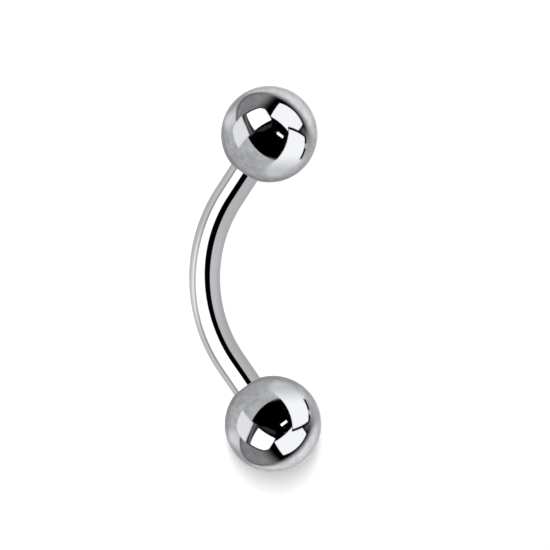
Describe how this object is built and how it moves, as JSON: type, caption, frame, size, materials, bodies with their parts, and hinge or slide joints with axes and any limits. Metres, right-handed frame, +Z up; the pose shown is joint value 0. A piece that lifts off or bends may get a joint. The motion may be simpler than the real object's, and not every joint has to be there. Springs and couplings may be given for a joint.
{
  "type": "curved eyebrow barbell",
  "caption": "Bent round bar with a screw-on ball at each end, worn through a fold of skin at the eyebrow.",
  "frame": {"origin": "centre of the box that holds the part, on the surface that it lies on", "axes": "+Y from the lower ball to the upper ball, -X towards the bow of the bar, +Z up from the surface"},
  "size_m": [0.0052, 0.016, 0.004],
  "materials": {
    "bar_titanium": "mirror polish",
    "ball_titanium": "mirror polish"
  },
  "bodies": {
    "bar": {"curved_bar": "bar_titanium"},
    "upper_ball": {"upper_ball": "ball_titanium"},
    "lower_ball": {"lower_ball": "ball_titanium"}
  },
  "joints": [
    {"name": "upper_ball_unscrew", "type": "slide", "parent": "bar", "child": "upper_ball", "axis": [0.5065, 0.8192, 0.2692], "range_m": [0, 0.003]},
    {"name": "lower_ball_unscrew", "type": "slide", "parent": "bar", "child": "lower_ball", "axis": [0.5065, -0.8192, 0.2692], "range_m": [0, 0.003]}
  ]
}
